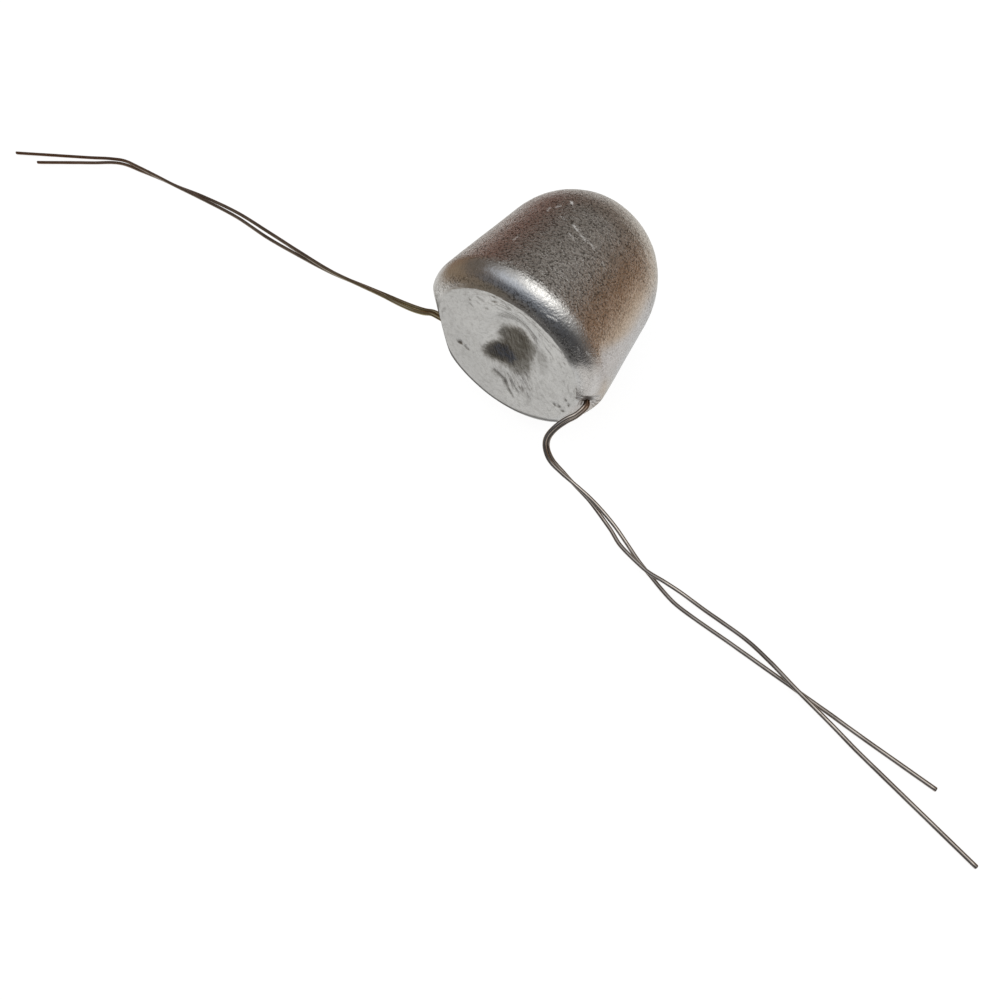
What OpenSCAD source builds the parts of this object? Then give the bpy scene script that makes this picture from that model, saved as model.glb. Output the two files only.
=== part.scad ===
// A domed metal casting with two tie wires cast through it, lying on its side.
// Units are millimetres. +Z is up. The origin is the centre of the flat poured
// face. +Y runs from that face towards the dome, and +X runs along the wires
// towards the pair of ends that is bent down round the rim. Left is -X, right is +X.

/* [Casting] */
// Largest diameter, at the rounded rim just behind the poured face
rim_d = 48; // [46:0.5:50]
// Diameter of the flat poured face
face_d = 39; // [38:0.5:40]
// Radius of the rounded rim between the poured face and the wall
rim_r = 5.4; // [5:0.1:6]
// Draft of the wall, in degrees, which is also how far the axis leans when the casting lies on its side
draft = 7; // [6.5:0.25:7.5]
// Length from the poured face to the top of the dome
cast_h = 48.6; // [47:0.2:50]

/* [Poured face] */
// Width of the shrinkage dimple in the poured face
dimple_d = 17; // [14:0.5:20]
// Depth of the shrinkage dimple
dimple_depth = 1.8; // [1:0.1:2.2]
// Distance of the dimple's middle from the middle of the face, across
dimple_x = 2; // [0:0.1:3]
// Distance of the dimple's middle from the middle of the face, up
dimple_z = 4; // [0:0.1:5]

/* [Tie wires] */
// Diameter of each tie wire
wire_d = 1; // [0.8:0.05:1.02]
// Distance between the middles of the two wires where they leave the casting
wire_pitch = 1.16; // [1.14:0.02:1.2]
// Distance between the middles of the two wires where they lie twisted together
twist_pitch = 1.1; // [1.06:0.02:1.14]
// Angle at which wire a lies below wire b where they leave the casting on the left, in degrees
left_turn = 12; // [8:1:16]
// Angle at which wire a lies below wire b where they leave the casting on the right, in degrees
right_turn = 64; // [60:1:66]
// Depth of the wires behind the poured face
wire_depth = 2.8; // [2.6:0.1:3]
// Distance of the wires below the casting's axis, at the middle of the casting
wire_drop = 3; // [2.5:0.1:3.5]
// Lean of the wires inside the casting, in degrees
wire_lean = 5.75; // [5:0.25:6]
// Length of wire a's straight cut end on the left
left_end_a = 21; // [12:0.2:24]
// Length of wire b's straight cut end on the left
left_end_b = 10.2; // [6:0.2:12]
// Length of wire a's straight cut end on the right
right_end_a = 21.4; // [12:0.2:24]
// Length of wire b's straight cut end on the right
right_end_b = 8.2; // [6:0.2:12]
// Sides of the round wire where it is bent
wire_sides = 12; // [8:2:16]

/* [Wire facets] */
// Angle of the left facet, where the pair of wires leaves the rim, in degrees from the axis
left_facet_angle = 48; // [46:1:50]
// Distance of the left facet from the axis, at the poured face
left_facet_x = 18.2; // [18:0.1:18.6]
// Tilt of the left facet downwards, in degrees
left_facet_tilt = 3; // [0:1:6]
// Angle of the right facet, in degrees from the axis
right_facet_angle = 37; // [35:1:39]
// Distance of the right facet from the axis, at the poured face
right_facet_x = 19.3; // [19:0.1:19.6]
// Tilt of the right facet downwards, in degrees
right_facet_tilt = 28; // [25:1:31]
// Radius of the scoop in the metal round the right-hand pair
scoop_r = 1.7; // [1.6:0.1:1.9]

/* [Hidden] */
$fn = 96;

// ---- Casting outline: a rim arc, a drafted wall tangent to it, and a dome tangent to the wall ----
rim_first_angle = -69;
rim_step = 6.9;
dome_steps = 16;
rim_centre = rim_d / 2 - rim_r;
// Distance of the wall's line from the origin
wall_offset = rim_centre * cos(draft) + rim_r + rim_r * sin(draft);
dome_centre = (cast_h - wall_offset) / (1 - sin(draft));
dome_r = cast_h - dome_centre;

function rim_point(angle) = [rim_centre + rim_r * cos(angle), rim_r + rim_r * sin(angle)];
function dome_point(angle) = [dome_r * cos(angle), dome_centre + dome_r * sin(angle)];

// Columns: distance from the axis, distance behind the poured face
profile = concat(
    [[0, 0], [face_d / 2, 0]],
    [for (angle = [rim_first_angle : rim_step : draft - rim_step / 2]) rim_point(angle)],
    [rim_point(draft)],
    [for (i = [0 : dome_steps - 1]) dome_point(draft + (90 - draft) * i / dome_steps)],
    [[0, cast_h]]
);

// Radius of the sphere that cuts the dimple
dimple_r = (dimple_d * dimple_d / 4 + dimple_depth * dimple_depth) / (2 * dimple_depth);
facet_block = [10, 40, 30];
facet_block_y = -10;
scoop_x = 21.3;
scoop_shift = 1; // from the wires towards the poured face

// ---- Straight run of the wires inside the casting ----
wire_r = wire_d / 2;
bent_r = wire_r * 0.985;
exit_half = wire_pitch / 2;
half_pitch = twist_pitch / 2;
// The rods reach a little past the places where the bent lengths start.
rod_left_x = -22.8;
rod_right_x = 20.15;
bend_left_x = -22.6;
bend_right_x = 20;
turn_length = 43; // over which the pair turns from left_turn to right_turn
bore_reach = 26;  // of the wire holes, to each side of the middle
end_overlap = 0.5; // of a cut end with the bent length before it

// The casting rests on its drafted wall, so its floor is this far from the origin.
floor_z = -wall_offset;
floor_gap = 0.06;
low = floor_z + wire_r + floor_gap; // middle of a wire lying just above the floor

// A point given in the casting's own frame, with the axis level, moved to the frame of the whole object.
function laid(p) = [p[0],
                    p[1] * cos(draft) + p[2] * sin(draft),
                    -p[1] * sin(draft) + p[2] * cos(draft)];
// The middle of the pair inside the casting, x to the right of the middle.
function run(x) = laid([x, wire_depth, -wire_drop - x * tan(wire_lean)]);
// Half the step from wire b to wire a, where a lies below b by the given angle.
function sidestep(turn) = laid([0, exit_half * cos(turn), -exit_half * sin(turn)]);
// The middle of one wire inside the casting; side is 1 for wire a and -1 for wire b.
function inner(x, side) =
    let (part = (x - rod_left_x) / turn_length)
    run(x) + side * ((1 - part) * sidestep(left_turn) + part * sidestep(right_turn));

// ---- Where each pair of wires bends, from the casting outwards ----
// Columns: x, y, z of the middle of the pair, half the distance between the two wires,
// and the angle, in degrees from level, at which wire a lies beside wire b.
left_pair = [
    concat(run(bend_left_x), [exit_half, 180 + draft + left_turn]),
    [-25.6, 2.3, -1.7, half_pitch, 188],
    [-29, 2.1, -2.25, half_pitch, 184],
    [-33.5, 2.1, -2.7, half_pitch, 198],
    [-39, 2.4, -3.4, half_pitch, 217],
    [-47, 2.9, -4.9, half_pitch, 232],
    [-59, 3.5, -6.8, half_pitch, 258],
    [-73, 5.2, -8.8, 0.58, 300],
    [-87, 7.2, -10.8, 0.74, 330],
    [-103, 9.7, -12.8, 0.6, 345],
    [-121, 11, -15, half_pitch, 382],
    [-132, 11.5, -16.5, half_pitch, 418],
    [-141, 12.2, -17.8, half_pitch, 432],
    [-152, 12.9, -19.5, half_pitch, 465],
    [-161, 13.3, -20.8, half_pitch, 495],
    [-167, 12.5, -21.8, 0.6, 515],
    [-174.5, 10, -22.55, 1.05, 538],
    [-185, 6.1, -23.05, 1.42, 540]
];
right_pair = [
    concat(run(bend_right_x), [exit_half, -draft - right_turn]),
    [21.1, 1.1, -5.5, half_pitch, -70],
    [21.1, -0.6, -5.6, half_pitch, -84],
    [20.35, -2.6, -5.95, half_pitch, -88],
    [19.15, -4.5, -6.1, half_pitch, -82],
    [17.6, -7.05, -7.2, half_pitch, -84],
    [16.7, -9.3, -9, half_pitch, -74],
    [17.1, -10.8, -11.3, half_pitch, -52],
    [18.95, -12, -13.5, half_pitch, -36],
    [22.3, -12.6, -15.7, half_pitch, -50],
    [25.2, -13, -17.3, half_pitch, -75],
    [30.75, -14.1, -19.3, half_pitch, -108],
    [37.6, -16.5, -21.4, 0.62, -165],
    [42, -18.6, -22.4, 0.82, -197],
    [48.8, -21.1, -23, half_pitch, -250],
    [54.6, -22.4, -23.2, 0.98, -318],
    [59.1, -23.2, low + 0.3, 1.4, -348],
    [64.4, -23.9, low + 0.1, 1.45, -357],
    [75, -25.1, low + 0.15, 1.35, -355],
    [82, -26.5, low + 0.5, 0.9, -325],
    [90, -28.3, low + 0.55, 0.58, -255],
    [98, -29.9, low + 0.25, 0.85, -195],
    [105, -31.4, low, 1.45, -180],
    [112, -32.8, low, 2.08, -180]
];

// ---- Smooth curve through the rows ----
// A cubic joins neighbouring rows. The slope at a row comes from the rows on both sides of it,
// and at the first row from the direction of the straight run.
function xyz(row) = [row[0], row[1], row[2]];
function unit(v) = v / norm(v);
// Distance along the rows from the first one to row i.
function along(rows, i) =
    i == 0 ? 0 : along(rows, i - 1) + norm(xyz(rows[i]) - xyz(rows[i - 1]));
function slope(rows, dist, i, start_dir) =
    i == 0 ? concat(start_dir, [0, 0])
    : let (next = min(i + 1, len(rows) - 1))
      (rows[next] - rows[i - 1]) / (dist[next] - dist[i - 1]);
// The row a fraction u of the way from row i to row i + 1.
function cubic(rows, dist, i, u, start_dir) =
    let (gap = dist[i + 1] - dist[i])
    (2 * u * u * u - 3 * u * u + 1) * rows[i]
    + (u * u * u - 2 * u * u + u) * gap * slope(rows, dist, i, start_dir)
    + (3 * u * u - 2 * u * u * u) * rows[i + 1]
    + (u * u * u - u * u) * gap * slope(rows, dist, i + 1, start_dir);
function curve(rows, start_dir, step) =
    let (last = len(rows) - 1, dist = [for (i = [0 : last]) along(rows, i)])
    concat([for (i = [0 : last - 1]) let (n = max(2, ceil((dist[i + 1] - dist[i]) / step)))
            for (k = [0 : n - 1]) cubic(rows, dist, i, k / n, start_dir)],
           [rows[last]]);

function tangent(path, i) = unit(path[min(i + 1, len(path) - 1)] - path[max(i - 1, 0)]);
// Unit vector square to a heading, at an angle from level.
function across(heading, angle) =
    let (level = unit(cross([0, 0, 1], heading)), upward = cross(heading, level))
    cos(angle) * level + sin(angle) * upward;
// The middle line of one wire of a pair; side is 1 for wire a and -1 for wire b.
function strand(pair, side) =
    let (middle = [for (row = pair) xyz(row)])
    [for (i = [0 : len(pair) - 1])
        middle[i] + side * pair[i][3] * across(tangent(middle, i), pair[i][4])];

left_curve = curve(left_pair, unit(run(-1) - run(0)), step = 3);
right_curve = curve(right_pair, unit(run(1) - run(0)), step = 1.5);

// A round rod between two points.
module rod(from, to, r) {
    d = to - from;
    translate(from)
        rotate([0, acos(d[2] / norm(d)), atan2(d[1], d[0])])
            cylinder(r = r, h = norm(d), $fn = 48);
}

// A bent length of round wire that follows a list of points, with a ring of corners at each.
module bent(path, r) {
    n = len(path);
    m = wire_sides;
    corners = [for (i = [0 : n - 1]) let (heading = tangent(path, i))
               for (k = [0 : m - 1]) path[i] + r * across(heading, 360 * k / m)];
    sides = [for (i = [0 : n - 2]) for (k = [0 : m - 1])
             let (near = i * m + k, near_next = i * m + (k + 1) % m,
                  far = near + m, far_next = near_next + m)
             for (face = [[near, far_next, near_next], [near, far, far_next]]) face];
    caps = [[for (k = [0 : m - 1]) k], [for (k = [m - 1 : -1 : 0]) (n - 1) * m + k]];
    polyhedron(points = corners, faces = concat(sides, caps), convexity = 8);
}

// The straight cut end that carries on from the last point of a path.
module cut_end(path, length) {
    tip = path[len(path) - 1];
    heading = unit(tip - path[len(path) - 2]);
    rod(tip - end_overlap * heading, tip + length * heading, wire_r);
}

// One tie wire: the straight run inside the casting, then a bent length and a cut end on each side.
module tie_wire(side, left_end, right_end) {
    left_path = strand(left_curve, side);
    right_path = strand(right_curve, side);
    union() {
        rod(inner(rod_left_x, side), inner(rod_right_x, side), wire_r);
        bent(left_path, bent_r);
        bent(right_path, bent_r);
        cut_end(left_path, left_end);
        cut_end(right_path, right_end);
    }
}

// The block that cuts a facet; side is -1 for the left and 1 for the right.
module facet_cut(side, x, angle, tilt)
    rotate([0, side * tilt, 0]) translate([side * x, 0, 0]) rotate([0, 0, -side * angle])
        translate([side < 0 ? -facet_block[0] : 0, facet_block_y, -facet_block[2] / 2])
            cube(facet_block);

// The solid domed casting, laid on its drafted wall.
module zinc_casting() color([0.77, 0.76, 0.74])
    difference() {
        rotate([-draft, 0, 0]) difference() {
            rotate([-90, 0, 0]) rotate_extrude() polygon(profile);
            translate([dimple_x, dimple_depth - dimple_r, dimple_z]) sphere(r = dimple_r);
            facet_cut(-1, left_facet_x, left_facet_angle, left_facet_tilt);
            facet_cut(1, right_facet_x, right_facet_angle, right_facet_tilt);
        }
        for (side = [-1, 1])
            rod(inner(-bore_reach, side), inner(bore_reach, side), wire_r);
        translate(run(scoop_x) - laid([0, scoop_shift, 0])) sphere(r = scoop_r);
    }

module tie_wire_a() color([0.36, 0.29, 0.24]) tie_wire(1, left_end_a, right_end_a);
module tie_wire_b() color([0.42, 0.35, 0.3]) tie_wire(-1, left_end_b, right_end_b);

zinc_casting();
tie_wire_a();
tie_wire_b();
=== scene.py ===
"""Looks of a domed zinc casting with two steel tie wires cast through it, lying on a pale table.

The casting lies on its tapered wall: poured face towards -Y, dome towards +Y. The wires leave it
to the left (-X) and the right (+X). Shapes are worked out in millimetres, in one of two frames:
the casting frame has its origin in the middle of the poured face and its axis level along +Y;
laid() tips it about X into the frame of the whole object, which rests on the table.
"""

import math

import bpy
import numpy as np
from mathutils import Matrix


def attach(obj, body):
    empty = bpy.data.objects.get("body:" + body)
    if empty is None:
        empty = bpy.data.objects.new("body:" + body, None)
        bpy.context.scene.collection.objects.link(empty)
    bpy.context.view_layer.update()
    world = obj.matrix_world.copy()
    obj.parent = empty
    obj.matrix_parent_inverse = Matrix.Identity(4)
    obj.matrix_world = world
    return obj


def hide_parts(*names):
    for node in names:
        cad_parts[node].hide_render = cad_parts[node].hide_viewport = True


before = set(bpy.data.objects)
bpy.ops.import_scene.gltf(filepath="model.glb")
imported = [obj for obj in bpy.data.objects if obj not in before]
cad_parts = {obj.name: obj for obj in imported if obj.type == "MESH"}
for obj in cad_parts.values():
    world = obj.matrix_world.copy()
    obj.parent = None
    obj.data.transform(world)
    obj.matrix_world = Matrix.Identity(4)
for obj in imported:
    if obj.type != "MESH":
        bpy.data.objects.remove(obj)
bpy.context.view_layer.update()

MM = 0.001

# ---------------------------------------------------------------- sizes shared with the CAD model
DRAFT_DEG = 7  # taper of the wall, and the tilt of the axis as the casting lies
DRAFT = math.radians(DRAFT_DEG)
COS_DRAFT, SIN_DRAFT = math.cos(DRAFT), math.sin(DRAFT)
CASTING_R = 24
CASTING_H = 48.6
FACE_R = 19.5  # flat part of the poured face
RIM_R = 5.4  # rounding of the rim
RIM_CENTRE = CASTING_R - RIM_R
RIM_START_DEG = -69
WALL_OFFSET = RIM_CENTRE * COS_DRAFT + RIM_R + RIM_R * SIN_DRAFT  # origin to the line of the wall
DOME_Y = (CASTING_H - WALL_OFFSET) / (1 - SIN_DRAFT)
DOME_R = CASTING_H - DOME_Y
TABLE_Z = -WALL_OFFSET

WIRE_R = 0.5
WIRE_SIDES = 24
PITCH = 1.16  # between the two wires inside the casting
HALF = 0.55  # half the spacing where the wires lie together outside
LOW = TABLE_Z + WIRE_R + 0.06  # middle of a wire lying on the table
WIRE_Y = 2.8  # depth of the wires behind the poured face
WIRE_LEAN = math.radians(5.75)
LEFT_X, RIGHT_X = -22.6, 20.0  # ends of the straight run inside
TURN_FROM_X, TURN_LENGTH = -22.8, 43
LEFT_TURN, RIGHT_TURN = math.radians(12), math.radians(64)

# ---------------------------------------------------------------- camera, in the object's frame
CAM_RIGHT = np.array([0.81548, 0.55767, -0.15489])
CAM_DOWN = np.array([0.45390, -0.78225, -0.42669])
CAM_FORWARD = np.array([-0.35912, 0.27765, -0.89104])
CAM_PLACE = np.array([88.387, -83.786, 170.420])
SIGHT_DISTANCE = 180  # from the camera to the sight plane, see sighted()


def laid(p):
    """From the casting frame to the frame of the whole object."""
    x, y, z = np.moveaxis(np.asarray(p, float), -1, 0)
    return np.stack([x, y * COS_DRAFT + z * SIN_DRAFT, -y * SIN_DRAFT + z * COS_DRAFT], -1)


def sighted(p):
    """Where the line from the camera to each point crosses the sight plane: mm right of the
    middle of the view, and mm below it."""
    ray = p - CAM_PLACE
    scale = SIGHT_DISTANCE / (ray @ CAM_FORWARD)
    return (ray @ CAM_RIGHT) * scale, (ray @ CAM_DOWN) * scale


# ---------------------------------------------------------------- noise and soft shapes
class Noise:
    """Smooth lattice noise in three dimensions, about -1 to 1."""

    def __init__(self, seed):
        rng = np.random.RandomState(seed)
        self.perm = np.concatenate([rng.permutation(256)] * 2)
        grad = rng.normal(size=(256, 3))
        self.grad = grad / np.linalg.norm(grad, axis=1)[:, None]

    def __call__(self, p):
        p = np.asarray(p, float)
        cell = np.floor(p).astype(int)
        within = p - cell
        ease = within * within * within * (within * (within * 6 - 15) + 10)
        out = np.zeros(len(p))
        for dx in (0, 1):
            hash_x = self.perm[(cell[:, 0] + dx) & 255]
            weight_x = ease[:, 0] if dx else 1 - ease[:, 0]
            for dy in (0, 1):
                hash_y = self.perm[(hash_x + cell[:, 1] + dy) & 255]
                weight_y = ease[:, 1] if dy else 1 - ease[:, 1]
                for dz in (0, 1):
                    hash_z = self.perm[(hash_y + cell[:, 2] + dz) & 255]
                    weight_z = ease[:, 2] if dz else 1 - ease[:, 2]
                    offset = within - np.array([dx, dy, dz])
                    slope = (self.grad[hash_z] * offset).sum(1)
                    out += weight_x * weight_y * weight_z * slope
        return out * 1.7


def rise(value, start, end):
    """Smooth step from 0 at start to 1 at end."""
    t = np.clip((value - start) / (end - start), 0, 1)
    return t * t * (3 - 2 * t)


def fall(value, start, end):
    return 1 - rise(value, start, end)


def peak(distance, width):
    return np.exp(-((distance / width) ** 2))


def spot(across, down, centre, radii, power=2):
    """Soft spot with different radii across and down. A higher power gives it a flatter top."""
    return np.exp(-(((across - centre[0]) / radii[0]) ** power
                    + ((down - centre[1]) / radii[1]) ** power))


def flat(a, b, c=0):
    """Noise coordinates in the plane at height c."""
    return np.stack([a, b, 0 * a + c], 1)


def unit(v):
    v = np.asarray(v, float)
    return v / np.linalg.norm(v, axis=-1, keepdims=True) if False else v / np.linalg.norm(
        v, axis=-1, keepdims=True)


def line_distance(across, up, points):
    """Distance to a broken line, and how far along it, 0 to 1."""
    best = np.full(across.shape, 1e9)
    along = np.zeros(across.shape)
    count = len(points) - 1
    for i in range(count):
        ax, ay = points[i]
        bx, by = points[i + 1]
        dx, dy = bx - ax, by - ay
        t = np.clip(((across - ax) * dx + (up - ay) * dy) / (dx * dx + dy * dy), 0, 1)
        distance = np.hypot(across - ax - t * dx, up - ay - t * dy)
        near = distance < best
        best = np.where(near, distance, best)
        along = np.where(near, (i + t) / count, along)
    return best, along


def line_peak(across, up, points, width):
    """Soft line of the given half width."""
    return peak(line_distance(across, up, points)[0], width)


def inside(across, up, outline):
    """How far inside (positive) or outside (negative) an outline each point lies."""
    closed = outline + outline[:1]
    near, _ = line_distance(across, up, closed)
    odd = np.zeros(across.shape, bool)
    for (ax, ay), (bx, by) in zip(closed, closed[1:]):
        crosses = (ay > up) != (by > up)
        with np.errstate(divide="ignore", invalid="ignore"):
            crossing = ax + (up - ay) * (bx - ax) / (by - ay)
        odd ^= crosses & (across < crossing)
    return np.where(odd, near, -near)


# ---------------------------------------------------------------- mesh objects
def mesh_object(name, points, faces):
    """Links an object made from points in millimetres."""
    mesh = bpy.data.meshes.new(name)
    mesh.from_pydata((points * MM).tolist(), [], faces)
    mesh.update()
    obj = bpy.data.objects.new(name, mesh)
    bpy.context.scene.collection.objects.link(obj)
    return obj


def add_attributes(obj, **values):
    for name, value in values.items():
        layer = obj.data.attributes.new(name, "FLOAT", "POINT")
        layer.data.foreach_set("value", np.asarray(value, np.float32))


def shade_smooth(obj, angle_deg):
    obj.data.shade_smooth()
    obj.data.set_sharp_from_angle(angle=math.radians(angle_deg))


# ---------------------------------------------------------------- wires
def pair_middle(x):
    """Middle of the pair on its straight run inside the casting."""
    return laid([x, WIRE_Y, -3 - x * math.tan(WIRE_LEAN)])


def wire_inside(x, side):
    """One wire (side 1 or -1) inside the casting, where the pair turns a little along its run."""
    def sidestep(turn):
        return laid([0, PITCH / 2 * math.cos(turn), -PITCH / 2 * math.sin(turn)])

    share = (x - TURN_FROM_X) / TURN_LENGTH
    offset = (1 - share) * sidestep(LEFT_TURN) + share * sidestep(RIGHT_TURN)
    return pair_middle(x) + side * offset


# Stations from the casting outwards: x, y, z of the pair's middle, half the spacing of the two
# wires, and the turn of the pair in degrees.
LEFT_PAIR = [
    [*pair_middle(LEFT_X), PITCH / 2, 199],
    [-25.6, 2.3, -1.7, HALF, 188],
    [-29, 2.1, -2.25, HALF, 184],
    [-33.5, 2.1, -2.7, HALF, 198],
    [-39, 2.4, -3.4, HALF, 217],
    [-47, 2.9, -4.9, HALF, 232],
    [-59, 3.5, -6.8, HALF, 258],
    [-73, 5.2, -8.8, 0.58, 300],
    [-87, 7.2, -10.8, 0.74, 330],
    [-103, 9.7, -12.8, 0.6, 345],
    [-121, 11, -15, HALF, 382],
    [-132, 11.5, -16.5, HALF, 418],
    [-141, 12.2, -17.8, HALF, 432],
    [-152, 12.9, -19.5, HALF, 465],
    [-161, 13.3, -20.8, HALF, 495],
    [-167, 12.5, -21.8, 0.6, 515],
    [-174.5, 10, -22.55, 1.05, 538],
    [-185, 6.1, -23.05, 1.42, 540],
]
RIGHT_PAIR = [
    [*pair_middle(RIGHT_X), PITCH / 2, -71],
    [21.1, 1.1, -5.5, HALF, -70],
    [21.1, -0.6, -5.6, HALF, -84],
    [20.35, -2.6, -5.95, HALF, -88],
    [19.15, -4.5, -6.1, HALF, -82],
    [17.6, -7.05, -7.2, HALF, -84],
    [16.7, -9.3, -9, HALF, -74],
    [17.1, -10.8, -11.3, HALF, -52],
    [18.95, -12, -13.5, HALF, -36],
    [22.3, -12.6, -15.7, HALF, -50],
    [25.2, -13, -17.3, HALF, -75],
    [30.75, -14.1, -19.3, HALF, -108],
    [37.6, -16.5, -21.4, 0.62, -165],
    [42, -18.6, -22.4, 0.82, -197],
    [48.8, -21.1, -23, HALF, -250],
    [54.6, -22.4, -23.2, 0.98, -318],
    [59.1, -23.2, LOW + 0.3, 1.4, -348],
    [64.4, -23.9, LOW + 0.1, 1.45, -357],
    [75, -25.1, LOW + 0.15, 1.35, -355],
    [82, -26.5, LOW + 0.5, 0.9, -325],
    [90, -28.3, LOW + 0.55, 0.58, -255],
    [98, -29.9, LOW + 0.25, 0.85, -195],
    [105, -31.4, LOW, 1.45, -180],
    [112, -32.8, LOW, 2.08, -180],
]
# Object, CAD node, side of the pair, straight lengths past the last left and right stations.
WIRES = [
    ("steel_tie_wire_a", "tie_wire_a", 1, 21, 21.4),
    ("steel_tie_wire_b", "tie_wire_b", -1, 10.2, 8.2),
]
LEFT_TRIM, RIGHT_TRIM = 0.18, 0.12  # taken off those lengths
# Where the metal has burnt the wires, in the casting frame.
BURNT_LEFT, BURNT_RIGHT, BURNT_R = [-21.6, 2.8, -0.85], [21.2, 2.6, -5.3], 2.6


def curve(rows, first, step):
    """Smooth curve through the stations, starting in the direction first."""
    rows = np.array(rows, float)
    gaps = np.linalg.norm(np.diff(rows[:, :3], axis=0), axis=1)
    s = np.concatenate([[0], np.cumsum(gaps)])
    slope = np.zeros_like(rows)
    slope[0, :3] = first
    for i in range(1, len(rows)):
        after = min(i + 1, len(rows) - 1)
        slope[i] = (rows[after] - rows[i - 1]) / (s[after] - s[i - 1])
    out = []
    for i in range(len(rows) - 1):
        length = s[i + 1] - s[i]
        count = max(3, math.ceil(length / step))
        for k in range(count):
            t = k / count
            out.append(
                (2 * t**3 - 3 * t**2 + 1) * rows[i]
                + (t**3 - 2 * t**2 + t) * length * slope[i]
                + (3 * t**2 - 2 * t**3) * rows[i + 1]
                + (t**3 - t**2) * length * slope[i + 1]
            )
    out.append(rows[-1])
    return np.array(out)


def tangents(points):
    steps = np.empty_like(points)
    steps[1:-1] = points[2:] - points[:-2]
    steps[0] = points[1] - points[0]
    steps[-1] = points[-1] - points[-2]
    return unit(steps)


def strand(pair, side):
    """One wire of a pair curve."""
    middle = pair[:, :3]
    tangent = tangents(middle)
    level = unit(np.cross([0, 0, 1], tangent))
    upright = np.cross(tangent, level)
    turn = np.radians(pair[:, 4])[:, None]
    return middle + side * pair[:, 3:4] * (np.cos(turn) * level + np.sin(turn) * upright)


def straight(start, end, step):
    """Points from start, left out, to end."""
    count = max(2, int(math.ceil(np.linalg.norm(end - start) / step)))
    return [start + (end - start) * k / count for k in range(1, count + 1)]


def wire_tip(line, length):
    return line[-1] + length * unit(line[-1] - line[-4])


def centreline(side, left_length, right_length):
    """Points along one tie wire from its left tip to its right tip."""
    rightwards = unit(pair_middle(1) - pair_middle(0))
    leftwards = unit(pair_middle(-1) - pair_middle(0))
    left = strand(curve(LEFT_PAIR, leftwards, step=0.9), side)
    right = strand(curve(RIGHT_PAIR, rightwards, step=0.45), side)
    left_tip = wire_tip(left, left_length)
    right_tip = wire_tip(right, right_length)
    points = [left_tip] + straight(left_tip, left[-1], 1.2) + list(left[-2::-1])
    # Leave out the first rows, which lie inside the metal.
    points = [p for p in points if p[0] < LEFT_X - 0.1]
    start, end = wire_inside(LEFT_X, side), wire_inside(RIGHT_X, side)
    points += [start] + straight(start, end, 1.5)
    points += list(right[1:]) + straight(right[-1], right_tip, 1.2)
    return np.array(points)


def tube(name, middle, radius, noise=None):
    """A swept round wire with sheared, slightly burred ends.

    Returns the object, the length along the wire at each vertex, and the vertices in mm."""
    sides = WIRE_SIDES
    tangent = tangents(middle)
    count = len(middle)
    level = np.zeros_like(middle)
    level[0] = unit(np.cross([0, 0, 1], tangent[0]))
    for i in range(1, count):  # a frame that doesn't twist
        v = level[i - 1] - tangent[i] * (level[i - 1] @ tangent[i])
        level[i] = v / np.linalg.norm(v)
    upright = np.cross(tangent, level)
    angle = np.arange(sides) * 2 * math.pi / sides
    cos, sin = np.cos(angle), np.sin(angle)
    spokes = cos[None, :, None] * level[:, None, :] + sin[None, :, None] * upright[:, None, :]
    radii = np.full((count, sides), radius)
    steps = np.linalg.norm(np.diff(middle, axis=0), axis=1)
    s = np.concatenate([[0], np.cumsum(steps)])
    if noise is not None:
        q = np.stack([np.repeat(s / 2.5, sides), np.tile(cos * 0.8, count),
                      np.tile(sin * 0.8, count)], 1)
        radii = radii - 0.018 - 0.012 * np.clip(noise(q), -0.8, 1).reshape(count, sides)
    body = middle[:, None, :] + spokes * radii[:, :, None]
    around = [(k, (k + 1) % sides) for k in range(sides)]

    def band(near, far):
        return [(near + i, near + j, far + j, far + i) for i, j in around]

    faces = []
    for i in range(count - 1):
        faces += band(i * sides, (i + 1) * sides)
    along = [np.repeat(s, sides)]
    extra = []
    first = count * sides
    for end, sign in ((0, -1), (count - 1, 1)):
        # The last ring leans like a sheared cut; smaller rings make the broken edge and the flat.
        lean = 0.08 * np.cos(angle - 0.9) * sign
        body[end] += tangent[end] * lean[:, None]
        for scale, push in ((0.9, 0.05), (0.45, 0.075)):
            rim = spokes[end] * (radii[end] * scale)[:, None]
            extra.append(middle[end] + rim + tangent[end] * (sign * push + lean * scale)[:, None])
        extra.append([middle[end] + tangent[end] * sign * 0.08])
        centre = first + 2 * sides
        inner = first + sides
        cap = band(end * sides, first) + band(first, inner)
        cap += [(inner + i, inner + j, centre) for i, j in around]
        faces += [face[::sign] for face in cap]
        along.append(np.full(2 * sides + 1, s[end]))
        first = centre + 1
    points = np.concatenate([body.reshape(-1, 3), *extra])
    return mesh_object(name, points, faces), np.concatenate(along), points


def build_wire(name, line, noise):
    obj, along, points = tube(name, line, WIRE_R, noise)
    x, y = points[:, 0], points[:, 1]
    # The poured metal has browned the wires near the casting, and the left tips are oxidised.
    near_left = rise(x, -75, -24) * (x < 0)
    near_right = fall(np.hypot(x - 21, y - 2), 4, 46) * (x > 0)
    tips = fall(x, -190, -128)
    burnt_right, burnt_left = (
        peak(np.linalg.norm(points - laid(p), axis=1), BURNT_R) for p in (BURNT_RIGHT, BURNT_LEFT)
    )
    add_attributes(
        obj,
        heat=np.clip(np.maximum(np.maximum(near_left * 0.8, near_right), tips), 0, 1),
        oxide=tips,
        olive=near_left,
        burnt=np.clip(burnt_right + 0.6 * burnt_left, 0, 1),
        along=along * MM,
    )
    shade_smooth(obj, 50)
    return obj


wire_noise = Noise(11)
lines = [centreline(side, left - LEFT_TRIM, right - RIGHT_TRIM)
         for _, _, side, left, right in WIRES]
wires = [build_wire(row[0], line, wire_noise) for row, line in zip(WIRES, lines)]

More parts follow.
